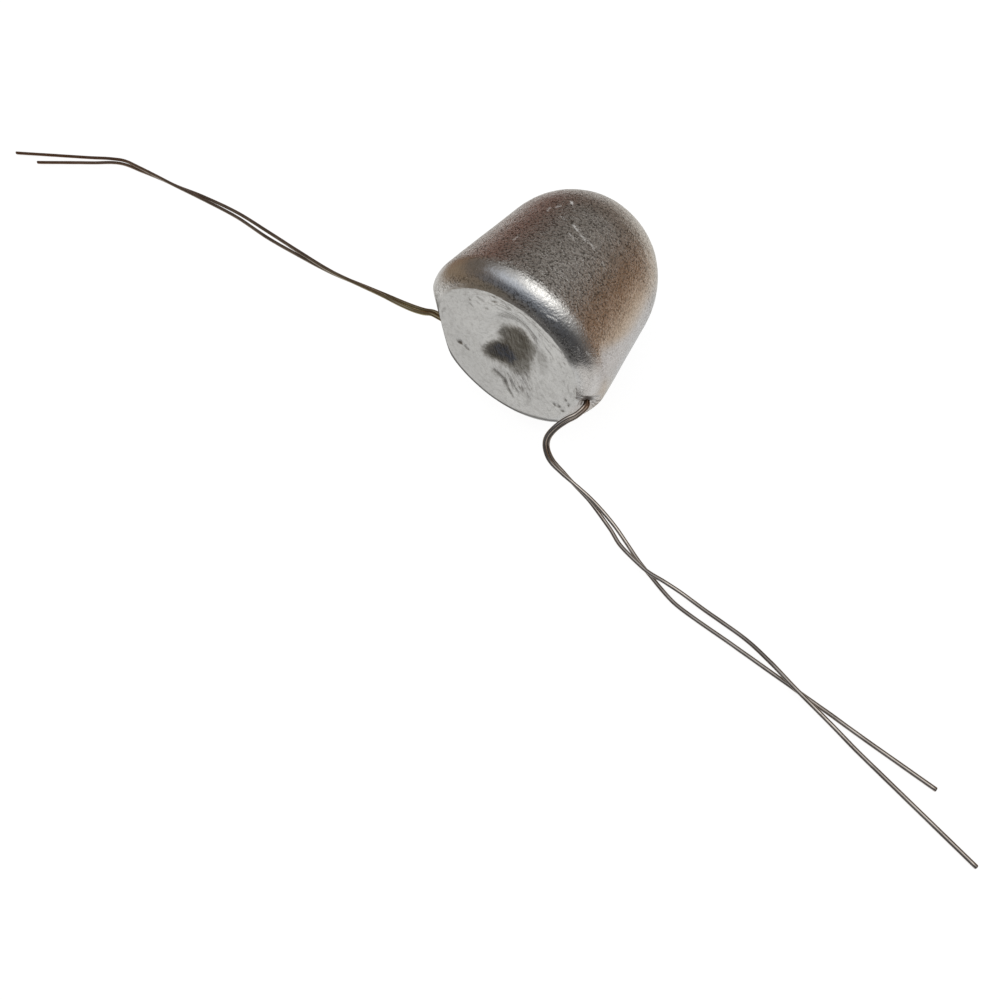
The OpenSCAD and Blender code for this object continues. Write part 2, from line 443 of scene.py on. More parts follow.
# ---------------------------------------------------------------- casting: plain turned mesh
FINE = 0.02  # step of the computed outline
RIM_END = FACE_R + math.radians(DRAFT_DEG - RIM_START_DEG) * RIM_R  # along the outline
WALL_END = RIM_END + 22.2
EXIT_ANGLES = (math.pi + math.atan2(1.0, 21.3), math.atan2(-5.05, 21.4))  # left, right wires
COARSEST = 16  # most columns merged into one towards the middle


def path_length(points):
    gaps = np.linalg.norm(np.diff(points, axis=0), axis=1)
    return np.concatenate([[0], np.cumsum(gaps)])


def casting_outline():
    """Outline (radius, y) at fine steps, from the middle of the poured face to the dome's top."""
    points = [[x, 0.0] for x in np.arange(0, FACE_R, FINE)]
    for a in np.radians(np.arange(RIM_START_DEG, DRAFT_DEG, 0.2)):
        points.append([RIM_CENTRE + RIM_R * math.cos(a), RIM_R + RIM_R * math.sin(a)])
    start = np.array([RIM_CENTRE + RIM_R * COS_DRAFT, RIM_R + RIM_R * SIN_DRAFT])
    end = np.array([DOME_R * COS_DRAFT, DOME_Y + DOME_R * SIN_DRAFT])
    count = int(np.linalg.norm(end - start) / FINE)
    points += [list(start + (end - start) * k / count) for k in range(count)]
    for a in np.radians(np.arange(DRAFT_DEG, 90, 0.06)):
        points.append([DOME_R * math.cos(a), DOME_Y + DOME_R * math.sin(a)])
    points.append([0.0, CASTING_H])
    points = np.array(points)
    s = path_length(points)
    even = np.arange(0, s[-1], FINE)
    outline = np.stack([np.interp(even, s, points[:, i]) for i in (0, 1)], 1)
    # Break the corner between the poured face and the rim.
    k = np.arange(-60, 61)
    weight = np.exp(-0.5 * (k * FINE / 0.2) ** 2)
    weight /= weight.sum()
    mirrored = np.concatenate([outline[60:0:-1] * [-1, 1], outline, outline[-2:-62:-1] * [-1, 1]])
    outline = np.stack([np.convolve(mirrored[:, i], weight, "valid") for i in (0, 1)], 1)
    outline[0, 0] = 0
    outline[-1, 0] = 0
    return even, outline


def spaced(total, spacing):
    """Positions from 0 to total whose gaps follow spacing(position)."""
    out = [0.0]
    while out[-1] < total:
        out.append(out[-1] + spacing(out[-1]))
    return np.array(out) * (total / out[-1])


def ring_gap(s):
    """Distance between rings along the outline: close over the rim."""
    for limit, gap in ((17, 0.40), (RIM_END, 0.21), (WALL_END, 0.40)):
        if s < limit:
            return gap
    return 0.46


def column_gap(deg):
    """Degrees between columns: close near the wires."""
    a = math.radians(deg)
    near = min(abs(math.degrees(math.atan2(math.sin(a - wire), math.cos(a - wire))))
               for wire in EXIT_ANGLES)
    return 0.34 if near < 9 else 0.34 + 0.5 * min(1, (near - 9) / 10)


def column_angles():
    angles = spaced(360.0, column_gap)[:-1]
    if len(angles) % COARSEST:  # so that the columns can be halved four times
        count = (len(angles) // COARSEST) * COARSEST
        angles = np.interp(np.arange(count) / count, np.arange(len(angles) + 1) / len(angles),
                           np.append(angles, 360.0))
    return np.radians(angles)


def ring_faces(a0, a_count, b0, b_count):
    """Faces between two rings, given by first vertex and number of columns."""
    if a_count == 1:
        return [(a0, b0 + k, b0 + (k + 1) % b_count) for k in range(b_count)]
    if b_count == 1:
        return [(a0 + k, b0, a0 + (k + 1) % a_count) for k in range(a_count)]
    if a_count == b_count:
        return [(a0 + k, b0 + k, b0 + (k + 1) % b_count, a0 + (k + 1) % a_count)
                for k in range(a_count)]
    flip = a_count > b_count
    coarse, few, fine, many = (
        (b0, b_count, a0, a_count) if flip else (a0, a_count, b0, b_count))
    merged = many // few
    half = (merged + 1) // 2
    out = []
    for k in range(few):
        this, after = coarse + k, coarse + (k + 1) % few
        for j in range(merged):
            corner = this if j < half else after
            start = fine + k * merged + j
            end = fine + (k * merged + j + 1) % many
            out.append((start, corner, end) if flip else (corner, start, end))
        middle = fine + (k * merged + half) % many
        out.append((this, after, middle) if flip else (this, middle, after))
    return out


def turned_mesh():
    """Returns vertices, outward normals, distances along the outline, and faces."""
    s_fine, outline = casting_outline()
    ring_s = spaced(s_fine[-1], ring_gap)
    angles = column_angles()
    radii, heights = (np.interp(ring_s, s_fine, outline[:, i]) for i in (0, 1))
    slope_r, slope_y = (
        np.interp(ring_s, s_fine, np.gradient(outline[:, i], s_fine)) for i in (0, 1))
    verts, normals, distances, rings = [], [], [], []
    for i, (s, r, y) in enumerate(zip(ring_s, radii, heights)):
        if i == 0 or i == len(ring_s) - 1:
            rings.append((len(verts), 1))
            verts.append((0, y, 0))
            normals.append((0, -1.0 if i == 0 else 1.0, 0))
            distances.append(s)
            continue
        normal_r, normal_y = slope_y[i], -slope_r[i]
        length = math.hypot(normal_r, normal_y)
        normal_r, normal_y = normal_r / length, normal_y / length
        step = 1
        while step < COARSEST and 2 * math.pi * r / (len(angles) / step) < 0.17:
            step *= 2
        columns = angles[::step]
        rings.append((len(verts), len(columns)))
        for a in columns:
            verts.append((r * math.cos(a), y, r * math.sin(a)))
            normals.append((normal_r * math.cos(a), normal_y, normal_r * math.sin(a)))
            distances.append(s)
    faces = []
    for near, far in zip(rings, rings[1:]):
        faces += ring_faces(*near, *far)
    return np.array(verts), np.array(normals), np.array(distances), faces


base, outward, path, faces = turned_mesh()
x, y, z = base.T  # on the poured face, x runs across and z up
radius = np.hypot(x, z)

on_face = fall(path, 19.3, 20.3)
on_rim = rise(path, 19.6, 20.6) * fall(path, RIM_END - 0.8, RIM_END + 1.2)
on_wall = rise(path, RIM_END - 1.6, RIM_END + 0.8)
on_dome = rise(path, WALL_END - 3, WALL_END + 4)

noise_a, noise_b, noise_c, noise_d, noise_e = (Noise(seed) for seed in (1, 2, 3, 4, 5))

# ---------------------------------------------------------------- casting: skin
# Slow unevenness everywhere, then finer lumps, all inwards from the CAD surface.
inward = 0.10 + 0.075 * noise_a(base / 13) + 0.02 * noise_b(base / 4.5)
inward += on_wall * (0.020 * noise_c(base / 2.1) + 0.016 * noise_d(base / 0.95))
inward += on_rim * (0.008 * noise_c(base / 2.1) + 0.006 * noise_d(base / 1.0))
# Faint rings left by the mould round the shoulder of the dome.
RING_PITCH = 2.3
ring_phase = (y + 0.5 * noise_a(base / 9)) * 2 * math.pi / RING_PITCH
ring_strength = 0.4 + 0.6 * np.clip(noise_e(base / 6) + 0.3, 0, 1)
inward += on_dome * rise(x, 2, 12) * 0.02 * np.sin(ring_phase) * ring_strength
inward = np.maximum(inward, 0.012)

# ---------------------------------------------------------------- casting: shrinkage hollow
# The hollow sank in two joined lobes. Inside an outline the metal slopes steadily inwards and
# upwards, and above it the metal comes back. Points are (x, z) on the poured face.
HOLLOW = [
    (-3.4, 5.9), (-1.0, 8.9), (2.3, 10.9), (4.9, 10.6), (6.8, 9.3), (8.2, 7.4), (9.1, 4.6),
    (8.6, 1.0), (7.7, -2.4), (6.6, -4.6), (5.6, -2.6), (4.8, -5.2), (3.8, -3.1), (2.8, -4.6),
    (1.9, -2.7), (1.1, -4.0), (-0.6, -3.0), (-2.2, -4.2), (-4.2, -4.1), (-6.3, -4.3),
    (-7.2, -2.2), (-5.3, 0.5), (-3.0, 2.4), (-1.8, 3.0), (-1.0, 3.8), (-2.2, 4.9),
]
LOWER_LOBE = [
    (-6.9, -1.7), (-5.1, 1.0), (-2.7, 2.8), (-0.8, 3.3), (0.8, 2.9), (2.2, 1.9), (2.4, -0.3),
    (1.3, -2.9), (-0.4, -2.8), (-4.0, -4.2), (-6.1, -3.6),
]
BESIDE = [(8.2, 7.4), (9.6, 7.4), (10.6, 6.0), (10.5, 3.4), (9.5, 1.6), (8.2, 1.6)]
GRID_HALF, CELL = 20, 0.2


def blurred(grid, sigma, axes=(0, 1)):
    k = np.arange(-24, 25)
    weight = np.exp(-0.5 * (k * CELL / sigma) ** 2)
    weight /= weight.sum()
    for axis in axes:
        grid = np.apply_along_axis(lambda row: np.convolve(row, weight, "same"), axis, grid)
    return grid


def hollow_grid():
    """Depth of the hollow on a square grid over the poured face."""
    ticks = np.arange(-GRID_HALF, GRID_HALF + 0.01, CELL)
    across, up = np.meshgrid(ticks, ticks, indexing="ij")
    place = flat(across.ravel() / 2.2, up.ravel() / 2.2)
    wavy_x = across.ravel() + 0.40 * noise_a(place) + 0.35 * noise_b(place * 2.7)
    wavy_z = up.ravel() + 0.40 * noise_b(place + 9) + 0.35 * noise_c(place * 2.7)

    def within(outline, start, end):
        return rise(inside(wavy_x, wavy_z, outline), start, end).reshape(across.shape)

    whole = within(HOLLOW, -0.6, 0.8)
    lower = within(LOWER_LOBE, -0.9, 1.0)
    beside = blurred(within(BESIDE, -0.6, 0.8), 0.8)
    slope = blurred(0.13 * whole + 0.09 * lower, 0.5) + 0.05 * beside
    depth = np.cumsum(slope, 1) * CELL
    total = depth[:, -1:]
    top = np.where(slope > 0.03, up, -3).max(1, keepdims=True)
    top = blurred(top * total, 1.2, (0,)) / np.maximum(blurred(total, 1.2, (0,)), 1e-3)
    depth = depth - total * rise(up - top, 0.0, 6.0)
    return blurred(depth, 1.0, (0,))


def sample(grid, across, up):
    i = np.clip((across + GRID_HALF) / CELL, 0, grid.shape[0] - 1.001)
    j = np.clip((up + GRID_HALF) / CELL, 0, grid.shape[1] - 1.001)
    i0, j0 = i.astype(int), j.astype(int)
    part_i, part_j = i - i0, j - j0
    low = grid[i0, j0] * (1 - part_i) + grid[i0 + 1, j0] * part_i
    high = grid[i0, j0 + 1] * (1 - part_i) + grid[i0 + 1, j0 + 1] * part_i
    return low * (1 - part_j) + high * part_j


inward += sample(hollow_grid(), x, z) * fall(radius, 16.0, 19.0) * on_face

# ---------------------------------------------------------------- casting: marks on the face
# Soft grooves, their colour darkened as painted shade in the creases: (x, z) points, half width,
# depth, darkness.
GROOVES = [
    # Flow lines that run down from the hollow.
    ([(-4.0, -6.7), (-2.6, -7.7), (-1.2, -8.8), (-0.5, -11.2)], 0.60, 0.13, 0.9),
    ([(-0.2, -5.4), (0.9, -7.4), (2.0, -10.2), (3.1, -12.3)], 0.42, 0.12, 0.8),
    ([(-1.2, -8.8), (-0.5, -11.2), (1.2, -14.2)], 0.40, 0.10, 0.8),
    ([(2.4, -4.8), (4.2, -7.0), (5.4, -10.2), (6.5, -12.9)], 0.36, 0.09, 0.5),
    ([(3.2, -2.8), (4.4, -4.3), (5.3, -6.2), (6.4, -9.2), (6.6, -12.6)], 0.36, 0.09, 0.35),
    ([(5.3, -1.9), (6.6, -3.9), (7.3, -6.0)], 0.34, 0.09, 0.4),
    ([(-0.9, -4.6), (0.4, -6.3), (1.2, -8.9)], 0.30, 0.07, 0.3),
    ([(2.0, -3.6), (3.2, -6.0), (4.5, -9.8)], 0.30, 0.07, 0.25),
    ([(4.0, -9.0), (5.2, -12.2), (5.6, -14.6)], 0.30, 0.06, 0.2),
    ([(-3.4, -14.6), (-2.1, -14.8)], 0.40, 0.08, 0.35),
    ([(-8.8, -12.4), (-6.9, -13.9)], 0.35, 0.06, 0.2),
    # Wavy arcs above the hollow and along the upper edge.
    ([(1.3, 12.8), (3.7, 13.4), (5.9, 12.9), (7.3, 12.2)], 0.30, 0.07, 0.2),
    ([(1.2, 11.6), (4.7, 12.4), (7.0, 11.6)], 0.28, 0.05, 0.12),
    ([(-1.9, 17.1), (-0.1, 17.8)], 0.30, 0.09, 0.45),
    ([(1.9, 17.8), (3.6, 17.2)], 0.28, 0.09, 0.45),
    ([(3.3, 16.4), (5.1, 15.8)], 0.28, 0.09, 0.4),
    ([(5.4, 16.0), (6.1, 15.1)], 0.28, 0.08, 0.4),
    ([(-8.6, 14.8), (-7.6, 14.4)], 0.30, 0.09, 0.5),
    ([(-5.8, 16.5), (-3.6, 15.6)], 0.28, 0.09, 0.5),
    ([(-8.5, 13.6), (-7.0, 12.5)], 0.28, 0.08, 0.4),
    ([(-4.0, 13.9), (-3.0, 14.2)], 0.30, 0.09, 0.5),
    ([(-6.4, 15.0), (-4.9, 14.1)], 0.26, 0.07, 0.35),
    ([(-7.8, 8.2), (-6.0, 10.0)], 0.34, 0.05, 0.2),
    ([(-1.2, 19.0), (-0.7, 18.8)], 0.40, 0.10, 0.6),
]
# Gas pits: x, z, radius, depth.
PITS = [
    (-13.4, -2.5, 0.75, 0.30), (-11.7, -3.4, 0.55, 0.24), (-11.0, -4.0, 0.45, 0.2),
    (13.3, -8.7, 0.55, 0.2), (14.7, -8.9, 0.55, 0.25), (15.3, -10.2, 0.5, 0.22),
    (16.1, -5.2, 0.4, 0.15), (16.9, -6.3, 0.5, 0.2),
]

# Wavering coordinates, so that outlines on the face are not too clean.
coarse_place, fine_place = flat(x / 3, z / 3), flat(x / 1.2, z / 1.2)
wavy_x = x + 0.7 * noise_a(coarse_place) + 0.3 * noise_b(fine_place)
wavy_z = z + 0.6 * noise_b(flat(x / 3, z / 3, 5)) + 0.3 * noise_c(fine_place)

# Painted shade: dark colour laid into grooves, pits, creases, the hole and along the rim's edges.
soot = np.zeros(len(base))
for points, width, depth, dark in GROOVES:
    near, along = line_distance(wavy_x * 0.4 + x * 0.6, wavy_z * 0.4 + z * 0.6, points)
    broken = rise(noise_d(flat(x / 0.9, z / 0.9, dark)), -0.8, 0.05)
    shape = peak(near, 0.9 * width) * rise(along, -0.05, 0.15) * fall(along, 0.8, 1.05) * on_face
    inward = inward + depth * shape
    soot = np.maximum(soot, 0.75 * dark * shape * broken)
# Pits are sunk in and darkened as painted shade.
for pit_x, pit_z, pit_r, depth in PITS:
    shape = spot(wavy_x, wavy_z, (pit_x, pit_z), (pit_r, pit_r)) * on_face
    inward = inward + depth * shape
    soot = np.maximum(soot, 0.55 * shape)

# Ripples follow the rim, strongest along the upper right of the face; wrinkles run down it.
ripple_place = flat(radius / 0.75, np.arctan2(z, x) * 2.6)
ripple = noise_e(ripple_place) + 0.5 * noise_d(ripple_place * [1.9, 1.8, 1])
upper = rise(z, -2, 9) * rise(radius, 11, 15.5) * rise(x, -9, 1)
inward += on_face * (0.010 + 0.040 * upper) * ripple
flow = noise_c(flat((x * 0.93 + z * 0.36) / 0.8, (-x * 0.36 + z * 0.93) / 4.2))
lower_right = spot(x, z, (4, -5), (6.5, 6.5))
inward += on_face * (0.006 + 0.05 * lower_right) * flow
inward += on_face * 0.006 * noise_d(flat(x / 1.1, z / 1.1))
# Painted shade along the wrinkles low on the right of the face.
soot = np.maximum(soot, on_face * 0.30 * lower_right * rise(flow, 0.25, 0.8))
side_arcs = 0.6 * rise(radius, 13, 17) * rise(z, -12, 0)
arcs = on_face * np.maximum(np.maximum(upper, side_arcs), 0.25)
streaky = on_face * np.exp(-(((x - 3.0) / 5.5) ** 2 + ((z + 7.0) / 5.0) ** 4))

skin = base - outward * inward[:, None]


# ---------------------------------------------------------------- casting: where the wires leave
def turned_y(vector, deg):
    t = math.radians(deg)
    a, b, c = vector
    return np.array([a * math.cos(t) + c * math.sin(t), b, -a * math.sin(t) + c * math.cos(t)])


def facet(points, normal, place, wave, edge):
    """Moves the metal outside a plane onto it, leaving a soft edge."""
    out = (points - place) @ normal
    move = 0.5 * (out + np.sqrt(out * out + edge * edge))
    move += np.where(out > -0.6, wave, 0) * rise(out, -0.3, 0.3)
    return points - normal * move[:, None]


def facet_normal(side, slope_deg, turn_deg):
    slope = math.radians(slope_deg)
    return turned_y([side * math.cos(slope), -math.sin(slope), 0], turn_deg)


LEFT_FACET_TURN, RIGHT_FACET_TURN = -3, 28  # degrees about the axis of the casting
LEFT_EXIT = np.array([-21.3, 2.8, -0.95])
RIGHT_EXIT = np.array([21.3, 1.8, -5.1])
left_normal = facet_normal(-1, 48, LEFT_FACET_TURN)
left_place = turned_y([-18.2, 0, 0], LEFT_FACET_TURN)
right_normal = facet_normal(1, 37, RIGHT_FACET_TURN)
right_place = turned_y([19.3, 0, 0], RIGHT_FACET_TURN)
right_wave = (0.05 + 0.05 * np.sin(z * 2 * math.pi / 0.95 + 2.2 * noise_a(base / 1.6))
              + 0.05 * noise_b(base / 0.9))
left_wave = 0.04 + 0.05 * noise_b(base / [3.5, 3.5, 0.8]) + 0.03 * noise_c(base / 1.1)
skin = facet(skin, left_normal, left_place, np.maximum(left_wave, 0), edge=0.55)
skin = facet(skin, right_normal, right_place, np.maximum(right_wave, 0), edge=0.45)

# The scoop in the metal round the right-hand pair: steep above the wires, open below them.
to_exit = skin - RIGHT_EXIT
out_of_facet = to_exit @ right_normal
lateral = to_exit - out_of_facet[:, None] * right_normal
facet_up = unit(np.array([0, 0, 1.0]) - right_normal[2] * right_normal)
facet_side = np.cross(facet_up, right_normal)
above, beside = lateral @ facet_up, lateral @ facet_side
from_exit = np.hypot(above / np.where(above > 0, 0.95, 1.9), beside / 1.25)
from_exit = np.clip(from_exit + 0.10 * noise_b(base / 0.8), 0, None)
scoop = 0.18 * np.exp(-(from_exit**2.6)) * (np.abs(out_of_facet) < 3.0)
skin = skin - right_normal * scoop[:, None]

# Marks round the right-hand exit, as (right, down) on the sight plane, darkened as painted shade:
# a crease across the top of the hole, the hole itself as its shadow, brown strokes left of the
# wires as their painted shade lines, and wavy folds in the cut metal to their right, with painted
# shade in their troughs.
CREASE = [(15.3, -20.52), (16.6, -20.6), (18.4, -20.68), (19.7, -20.76)]
STROKE = [(17.0, -20.2), (16.44, -19.8), (16.18, -19.08)]
FAINT_STROKE = [(16.4, -20.08), (15.84, -19.6), (15.58, -18.96)]
right, down = sighted(laid(skin))
here = (np.linalg.norm(base - np.array([20.5, 3.0, -6.0]), axis=1) < 13) * (x > 12)
crease = line_peak(right, down, CREASE, 0.16) * here
hole = spot(right, down, (17.6, -20.28), (1.04, 0.38), power=4) * here
strokes = np.maximum(line_peak(right, down, STROKE, 0.18),
                     0.45 * line_peak(right, down, FAINT_STROKE, 0.12)) * here
folds = rise(right, 18.0, 18.5) * fall(right, 20.4, 21.2) * rise(down, -20.4, -19.9) * here
for mark, dark in ((crease, 0.50), (hole, 1.0), (strokes, 0.75)):
    soot = np.maximum(soot, dark * mark)
skin = skin - outward * (0.10 * crease + 0.16 * hole + 0.05 * strokes)[:, None]

# A small collar of shrinkage round the left-hand pair.
to_exit = skin - LEFT_EXIT
out_of_facet = to_exit @ left_normal
from_exit = np.linalg.norm(to_exit - out_of_facet[:, None] * left_normal, axis=1)
in_facet = (np.abs(out_of_facet) < 2.5).astype(float)
skin = skin - left_normal * (0.30 * peak(from_exit, 1.3) * in_facet)[:, None]
# Brown round the exits: heat tint round the left-hand pair; over the hole and the strokes on the
# right it browns their painted shade.
warm = np.maximum(np.maximum(0.8 * hole, 0.9 * strokes), 0.35 * peak(from_exit, 1.8) * in_facet)

# ---------------------------------------------------------------- casting: marks seen from above
# Bright nicks on the dome and the rim: (right, down) on the sight plane, half width, brightness.
NICKS = [
    ([(14.28, -59.56), (14.44, -59.32)], 0.20, 0.9),
    ([(14.7, -55.0), (15.3, -54.1), (15.7, -53.8)], 0.16, 0.5),
    ([(16.0, -53.1), (16.7, -52.4), (17.2, -51.6)], 0.14, 0.4),
    ([(17.6, -52.0), (18.8, -50.2)], 0.12, 0.3),
    ([(11.2, -58.6), (12.2, -58.9)], 0.14, 0.35),
    ([(9.9, -58.4), (9.5, -57.8)], 0.14, 0.3),
    ([(13.8, -53.4), (14.8, -52.2)], 0.12, 0.3),
    ([(20.4, -47.6), (21.0, -46.4)], 0.12, 0.25),
    ([(9.4, -36.9), (10.4, -36.5), (11.4, -35.9)], 0.12, 0.75),
    ([(10.6, -37.3), (12.0, -36.3)], 0.10, 0.5),
    ([(8.2, -37.8), (9.4, -37.44)], 0.10, 0.4),
    ([(17.2, -29.6), (18.0, -28.8)], 0.10, 0.3),
    ([(15.4, -30.6), (15.9, -29.8)], 0.10, 0.3),
    ([(2.6, -52.0), (3.8, -52.8)], 0.12, 0.25),
    ([(-0.2, -47.6), (2.4, -47.6)], 0.10, 0.25),
    ([(12.0, -56.8), (13.2, -56.0)], 0.12, 0.25),
]
# Lower edge of the poured face, low on the right, on the sight plane.
LOW_EDGE = [(1.0, -18.96), (3.2, -17.84), (5.4, -17.04), (7.6, -16.4), (9.8, -15.94),
            (11.4, -15.82)]

right, down = sighted(laid(skin))
facing = ((laid(outward) @ unit(CAM_PLACE)) > 0.1).astype(float)
nick = np.zeros(len(base))
for points, width, bright in NICKS:
    nick = np.maximum(nick, bright * line_peak(right, down, points, width) * facing)
skin = skin - outward * (0.05 * nick)[:, None]

# Painted dark reflection where the rim turns away along the upper edge of the poured face, the dim
# room mirrored there. Low on the right it is left out, so the rim is as light as the poured face.
clear = rise(down, -28.2, -25.8) * (x > 5)
over = rise(z + 0.55 * x, -1, 6) * rise(x, -6, 3) * (0.14 + 0.40 * rise(x, 4, 15))
over = over * rise(path, 19.5, 19.8) * fall(path, 21.0, 22.8)
soot = np.maximum(soot, over * (1 - clear))
# A thin painted dark line under the poured face, the shaded table mirrored at its edge. Low on the
# right it keeps to the edge of the casting.
under = rise(-z - 0.55 * x, -2, 7) * rise(path, 19.0, 19.4) * fall(path, 20.6, 21.6)
low_right = rise(right, 1.6, 6.0) * rise(down, -21.0, -19.4)
edge_line = 0.95 * line_peak(right, down, LOW_EDGE, 0.22) * (right < 12) * (y < 12)
soot = np.maximum(soot, under * (1 - low_right) + low_right * edge_line)

# ---------------------------------------------------------------- casting: painted dark reflections in the hollow
# Painted dark reflections of the room in the hollow's slopes: a brown upper lobe that fades to tan
# low on the right, a darker, bluish lower lobe, painted shade beside them, and the flow lines
# below. Points are (right, down) on the sight plane.
FILM_OUTLINE = [
    (-0.2, -34.0), (0.8, -34.6), (2.8, -34.5), (3.9, -33.9), (4.8, -33.2), (5.5, -32.4),
    (6.3, -31.3), (7.2, -30.4), (7.6, -29.6), (6.9, -28.6), (6.4, -27.6), (6.2, -26.6),
    (6.1, -25.4), (5.2, -24.8), (4.2, -25.1), (2.8, -25.4), (2.0, -26.1), (1.4, -26.7),
    (0.8, -27.2), (0.2, -27.5), (-0.6, -28.0), (-1.4, -28.3), (-2.2, -28.6), (-2.9, -29.1),
    (-3.4, -29.9), (-3.3, -30.6), (-2.6, -31.2), (-1.8, -31.7), (-0.6, -32.0), (0.0, -32.6),
    (-0.4, -33.4),
]
HAZE_OUTLINE = [(7.2, -30.2), (8.2, -30.0), (9.1, -29.0), (9.7, -27.6), (9.7, -26.0),
                (8.8, -25.0), (8.0, -26.0), (7.2, -27.6)]
BLUE_OUTLINE = [(-2.4, -30.6), (-1.0, -31.5), (0.4, -31.3), (1.6, -30.6), (2.6, -29.6),
                (3.4, -28.2), (2.4, -27.4), (0.8, -28.3), (-0.8, -28.8), (-2.2, -29.4)]
# Flow lines: points, half width, darkness.
FILM_LINES = [
    ([(-1.4, -25.9), (0.0, -25.3), (0.7, -24.4), (1.1, -23.4), (1.5, -22.6)], 0.38, 0.50),
    ([(1.4, -23.0), (1.9, -21.9), (2.6, -20.6)], 0.22, 0.62),
    ([(1.8, -26.2), (2.4, -25.2), (3.0, -24.2), (3.6, -23.2), (4.1, -22.2), (4.6, -21.0)],
     0.30, 0.46),
    ([(4.6, -25.2), (5.1, -24.2), (5.4, -23.2), (5.8, -22.0)], 0.22, 0.34),
    ([(2.8, -23.0), (3.4, -21.8), (4.0, -20.6)], 0.18, 0.34),
    ([(5.8, -24.8), (6.3, -23.2), (6.6, -21.6)], 0.18, 0.26),
    ([(4.6, -22.4), (5.2, -20.8), (6.0, -19.6)], 0.18, 0.28),
    ([(6.7, -28.8), (6.9, -27.4), (6.7, -26.0)], 0.20, 0.50),
    ([(7.2, -26.8), (7.1, -25.6)], 0.16, 0.4),
    ([(1.0, -25.6), (1.8, -24.0), (2.6, -22.4)], 0.18, 0.3),
    ([(-0.4, -26.7), (0.6, -26.0), (1.4, -24.8)], 0.18, 0.25),
]
# Soft spots of painted dark reflection: centre, radii, darkness.
FILM_SPOTS = [((1.0, -34.8), (1.8, 0.9), 0.36), ((-0.5, -25.5), (1.0, 0.48), 0.42)]

wavy_right = right + 0.26 * noise_a(base / 1.7) + 0.18 * noise_c(base / 0.7)
wavy_down = down + 0.26 * noise_b(base / 1.7) + 0.18 * noise_d(base / 0.7)
front_face = rise(19.0 - radius, 0, 2) * on_face

strength = 0.98 - 0.30 * rise(wavy_down, -29.6, -25.2)
strength -= 0.16 * rise(wavy_right, 4.4, 6.8) * rise(wavy_down, -31.4, -29.6)
strength -= 0.26 * fall(wavy_right, -0.2, 2.6) * fall(wavy_down, -32.2, -31.0)
strength -= 0.16 * fall(wavy_right, -2.8, -0.4)
tarnish = strength * rise(inside(wavy_right, wavy_down, FILM_OUTLINE), -0.72, 0.6)
haze = rise(inside(wavy_right, wavy_down, HAZE_OUTLINE), -0.6, 0.6)
tarnish = np.maximum(tarnish, (0.46 - 0.22 * rise(wavy_down, -29.2, -26.4)) * haze)
for centre, radii, dark in FILM_SPOTS:
    tarnish = np.maximum(tarnish, dark * spot(wavy_right, wavy_down, centre, radii))
for points, width, dark in FILM_LINES:
    near, along = line_distance(wavy_right * 0.5 + right * 0.5, wavy_down * 0.5 + down * 0.5,
                                points)
    tarnish = np.maximum(tarnish, dark * peak(near, width) * (1 - 0.4 * along))
tarnish = np.clip(tarnish, 0, 1) * front_face
tarnish_blue = rise(inside(wavy_right, wavy_down, BLUE_OUTLINE), -0.5, 0.7)
tarnish_blue = tarnish_blue * (0.45 + 0.55 * rise(wavy_right, -1.8, 0.4)) * front_face

# ---------------------------------------------------------------- casting: where the grain shows
# Less at the near end of the rim and where the wall turns away on the right.
facing_camera = (laid(outward) * unit(CAM_PLACE - laid(base))).sum(1)
grainy = on_rim * (0.45 + 0.95 * rise(right, 1.0, 10.4)) * (1 - 0.5 * clear)
calm = on_wall * fall(facing_camera, 0.30, 0.80) * rise(x, 0, 8) * (1 - 0.7 * on_dome)
# Low on the right, where the wall turns away from the camera, a pale bluish sheen is painted on as
# a painted reflection, and the skin is made a little matt.
pale = fall(facing_camera - 0.24 * rise(down, -34.0, -27.0), 0.25, 0.52)
pale = pale * rise(down, -45.6, -39.0) * (1 - 0.75 * rise(down, -25.6, -21.6))
pale = pale * rise(x, 5, 12) * (1 - on_face)
# Painted warm brown reflection between the painted sheen and the grain, and along the near side of
# the rim.
tan_band = calm * (1 - pale) * (1 - 0.85 * rise(down, -33.0, -27.6))
# Painted dark reflection on the rim, low on the right.
dim = on_rim * fall(path, 23.0, 25.2) * rise(right, 7.0, 14.0) * (1 - clear)

casting = mesh_object("domed_zinc_casting", laid(skin), faces)
casting.data.validate()
add_attributes(
    casting,
    face=on_face,
    rim=on_rim,
    rim_face_side=fall(path, 21.6, 23.4) * (1 - 0.9 * clear),
    wall=on_wall,
    soot=soot,
    warm=warm,
    tarnish=tarnish,
    tarnish_blue=tarnish_blue,
    arcs=arcs,
    streaky=streaky,
    # Painted shade, darker towards the left of the poured face.
    dull=on_face * (0.14 - 0.11 * rise(x, -14, 1)),
    nick=nick,
    folds=folds,
    grainy=grainy,
    calm=calm,
    pale=pale,
    tan_band=tan_band,
    dim=dim,
)


def cut_channel(line, name):
    """Cuts the channel that a wire fills, with the wire's own shape a hair fatter."""
    part = line[(line[:, 0] > -27) & (line[:, 0] < 22.5) & (line[:, 1] > -2.5)]
    cutter = tube(name, part, WIRE_R + 0.004)[0]
    cut = casting.modifiers.new(name, "BOOLEAN")
    cut.operation = "DIFFERENCE"
    cut.solver = "MANIFOLD"
    cut.object = cutter
    bpy.context.view_layer.objects.active = casting
    for other in bpy.context.selected_objects:
        other.select_set(False)
    casting.select_set(True)
    bpy.ops.object.modifier_apply(modifier=cut.name)
    bpy.data.objects.remove(cutter)


for line, letter in zip(lines, "ab"):
    cut_channel(line, "channel_" + letter)
shade_smooth(casting, 60)


